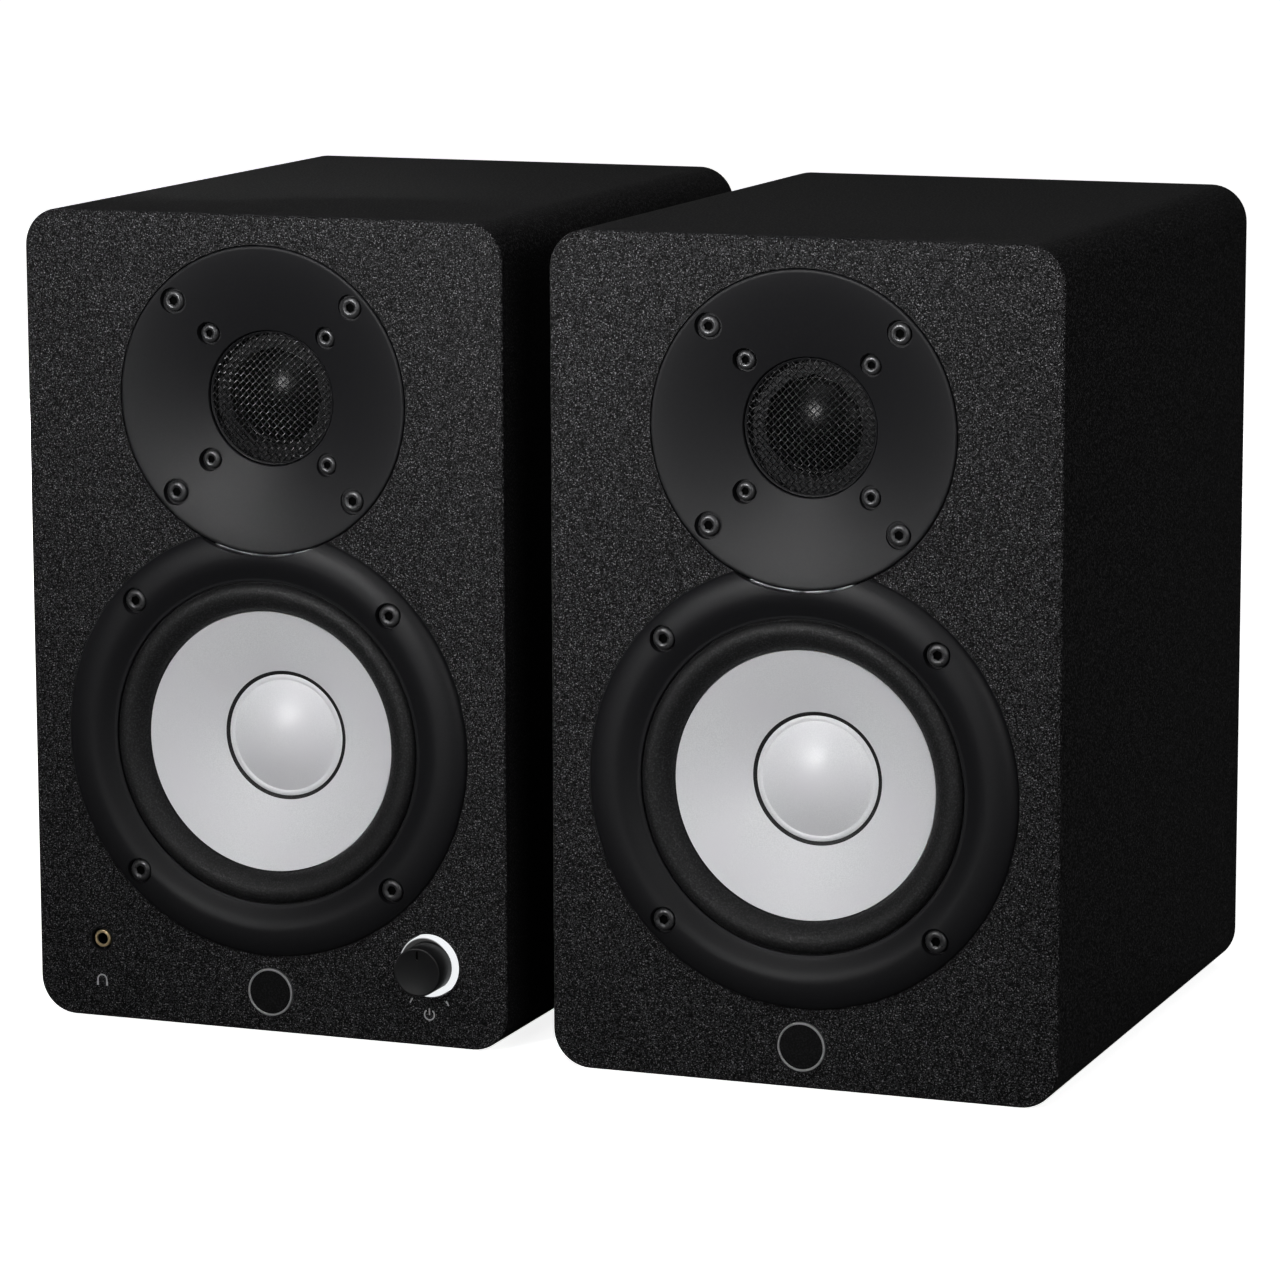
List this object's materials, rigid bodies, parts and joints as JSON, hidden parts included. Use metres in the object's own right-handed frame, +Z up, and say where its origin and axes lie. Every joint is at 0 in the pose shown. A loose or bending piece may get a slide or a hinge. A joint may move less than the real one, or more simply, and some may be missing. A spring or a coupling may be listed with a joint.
{
  "type": "pair of desktop speakers",
  "caption": "Pair of compact two-way desktop speakers with black cabinets, pale woofer cones and round tweeter waveguides, one powered with a lit volume knob, one passive.",
  "frame": {"origin": "on the desk under the middle of the pair's bounding box", "axes": "+X to the right seen from the front, from the powered speaker to the passive one; +Z up; the fronts face -Y"},
  "size_m": [0.3174, 0.224, 0.24],
  "materials": {
    "cabinet_film": "matt black grained film on board",
    "front_paint": "speckled satin black coat",
    "moulded_black": "satin moulded black",
    "steel": "plated steel",
    "rubber": "matt black rubber",
    "white_cone": "white pearl satin",
    "spider_cloth": "woven treated cloth",
    "copper_wire": "enamelled copper wire",
    "ferrite": "dark ferrite",
    "black_mesh": "black woven wire",
    "dome_silk": "coated silk",
    "badge_metal": "brushed satin disc",
    "socket_black": "moulded black",
    "lever_red": "red plastic",
    "lever_black": "black plastic",
    "panel_paint": "satin black coat",
    "circuit_board": "green board with parts",
    "knob_black": "satin black",
    "lit_ring": "lit white light pipe",
    "socket_brass": "gold-coloured plating"
  },
  "bodies": {
    "left_cabinet": {"left_cabinet_shell": "cabinet_film", "left_front_baffle": "front_paint", "left_back_board": "cabinet_film", "left_port_tube": "moulded_black", "left_woofer_ring": "moulded_black", "left_woofer_basket": "steel", "left_woofer_surround": "rubber", "left_woofer_spider": "spider_cloth", "left_woofer_top_plate": "steel", "left_woofer_magnet": "ferrite", "left_woofer_yoke": "steel", "left_tweeter_waveguide": "moulded_black", "left_tweeter_grille": "black_mesh", "left_tweeter_motor": "steel", "left_badge": "badge_metal", "left_terminal_block": "socket_black", "left_amp_panel": "panel_paint", "left_main_board": "circuit_board", "left_power_supply": "circuit_board", "left_combo_jack_1": "socket_black", "left_combo_jack_2": "socket_black", "left_phono_jacks": "socket_black", "left_mini_jack": "socket_black", "left_power_inlet": "socket_black", "left_volume_encoder": "socket_black", "left_light_ring": "lit_ring", "left_headphone_jack": "socket_brass"},
    "right_cabinet": {"right_cabinet_shell": "cabinet_film", "right_front_baffle": "front_paint", "right_back_board": "cabinet_film", "right_port_tube": "moulded_black", "right_woofer_ring": "moulded_black", "right_woofer_basket": "steel", "right_woofer_surround": "rubber", "right_woofer_spider": "spider_cloth", "right_woofer_top_plate": "steel", "right_woofer_magnet": "ferrite", "right_woofer_yoke": "steel", "right_tweeter_waveguide": "moulded_black", "right_tweeter_grille": "black_mesh", "right_tweeter_motor": "steel", "right_badge": "badge_metal", "right_terminal_block": "socket_black", "right_crossover_board": "circuit_board"},
    "volume_shaft": {"left_encoder_shaft": "steel"},
    "volume_knob": {"left_volume_knob": "knob_black"},
    "high_trim": {"left_high_trim_slider": "socket_black"},
    "room_control": {"left_room_control_slider": "socket_black"},
    "left_woofer_cone_body": {"left_woofer_cone": "white_cone", "left_woofer_dust_cap": "white_cone", "left_woofer_voice_coil": "copper_wire"},
    "left_tweeter_dome_body": {"left_tweeter_dome": "dome_silk"},
    "left_red_lever": {"left_lever_red": "lever_red"},
    "left_black_lever": {"left_lever_black": "lever_black"},
    "right_woofer_cone_body": {"right_woofer_cone": "white_cone", "right_woofer_dust_cap": "white_cone", "right_woofer_voice_coil": "copper_wire"},
    "right_tweeter_dome_body": {"right_tweeter_dome": "dome_silk"},
    "right_red_lever": {"right_lever_red": "lever_red"},
    "right_black_lever": {"right_lever_black": "lever_black"}
  },
  "joints": [
    {"name": "right_speaker_place", "type": "slide", "parent": "left_cabinet", "child": "right_cabinet", "axis": [1, 0, 0], "range_m": [0, 0.6]},
    {"name": "left_woofer_stroke", "type": "slide", "parent": "left_cabinet", "child": "left_woofer_cone_body", "axis": [0, -1, 0], "range_m": [-0.003, 0.003], "stiffness_N_per_m": 1500, "deforming": ["left_woofer_surround", "left_woofer_spider"]},
    {"name": "left_tweeter_stroke", "type": "slide", "parent": "left_cabinet", "child": "left_tweeter_dome_body", "axis": [0, -1, 0], "range_m": [-0.0003, 0.0003], "stiffness_N_per_m": 2000},
    {"name": "right_woofer_stroke", "type": "slide", "parent": "right_cabinet", "child": "right_woofer_cone_body", "axis": [0, -1, 0], "range_m": [-0.003, 0.003], "stiffness_N_per_m": 1500, "deforming": ["right_woofer_surround", "right_woofer_spider"]},
    {"name": "right_tweeter_stroke", "type": "slide", "parent": "right_cabinet", "child": "right_tweeter_dome_body", "axis": [0, -1, 0], "range_m": [-0.0003, 0.0003], "stiffness_N_per_m": 2000},
    {"name": "volume_push", "type": "slide", "parent": "left_cabinet", "child": "volume_shaft", "axis": [0, 1, 0], "range_m": [0, 0.0008], "stiffness_N_per_m": 2500},
    {"name": "volume_turn", "type": "hinge", "parent": "volume_shaft", "child": "volume_knob", "pos_m": [-0.03315, -0.1005, 0.0239], "axis": [0, 1, 0], "range_deg": [-150, 150]},
    {"name": "high_trim_slide", "type": "slide", "parent": "left_cabinet", "child": "high_trim", "axis": [1, 0, 0], "range_m": [-0.003, 0.003]},
    {"name": "room_control_slide", "type": "slide", "parent": "left_cabinet", "child": "room_control", "axis": [1, 0, 0], "range_m": [-0.003, 0.003]},
    {"name": "left_red_lever_press", "type": "hinge", "parent": "left_cabinet", "child": "left_red_lever", "pos_m": [-0.11875, 0.101, 0.055], "axis": [-1, 0, 0], "range_deg": [0, 20], "stiffness_Nm_per_rad": 0.06},
    {"name": "left_black_lever_press", "type": "hinge", "parent": "left_cabinet", "child": "left_black_lever", "pos_m": [-0.10075, 0.101, 0.055], "axis": [-1, 0, 0], "range_deg": [0, 20], "stiffness_Nm_per_rad": 0.06},
    {"name": "right_red_lever_press", "type": "hinge", "parent": "right_cabinet", "child": "right_red_lever", "pos_m": [0.07475, 0.091, 0.075], "axis": [-1, 0, 0], "range_deg": [0, 20], "stiffness_Nm_per_rad": 0.06},
    {"name": "right_black_lever_press", "type": "hinge", "parent": "right_cabinet", "child": "right_black_lever", "pos_m": [0.09275, 0.091, 0.075], "axis": [-1, 0, 0], "range_deg": [0, 20], "stiffness_Nm_per_rad": 0.06}
  ]
}
